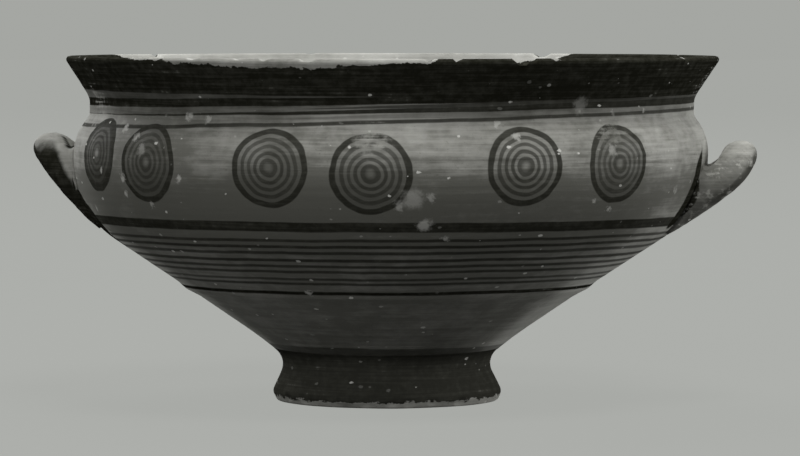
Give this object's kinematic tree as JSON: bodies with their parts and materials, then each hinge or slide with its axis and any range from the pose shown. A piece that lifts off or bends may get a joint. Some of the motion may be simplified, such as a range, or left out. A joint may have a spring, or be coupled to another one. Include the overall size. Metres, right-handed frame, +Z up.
{
  "type": "skyphos cup",
  "caption": "Deep two-handled drinking cup on a ring foot, with a flaring lip, canted loop handles and painted circles and bands.",
  "frame": {"origin": "centre of the foot's resting ring, on the surface that the cup stands on", "axes": "+Z up along the cup's axis, +X through one handle and -X through the other, -Y towards the painted front"},
  "size_m": [0.236, 0.21, 0.111],
  "materials": {
    "painted_bowl": "matt, brushed slip, worn",
    "painted_foot": "matt, brushed slip, worn",
    "painted_handle": "matt, brushed slip, worn"
  },
  "bodies": {
    "root": {"bowl": "painted_bowl", "foot": "painted_foot", "handle_left": "painted_handle", "handle_right": "painted_handle"}
  },
  "joints": []
}
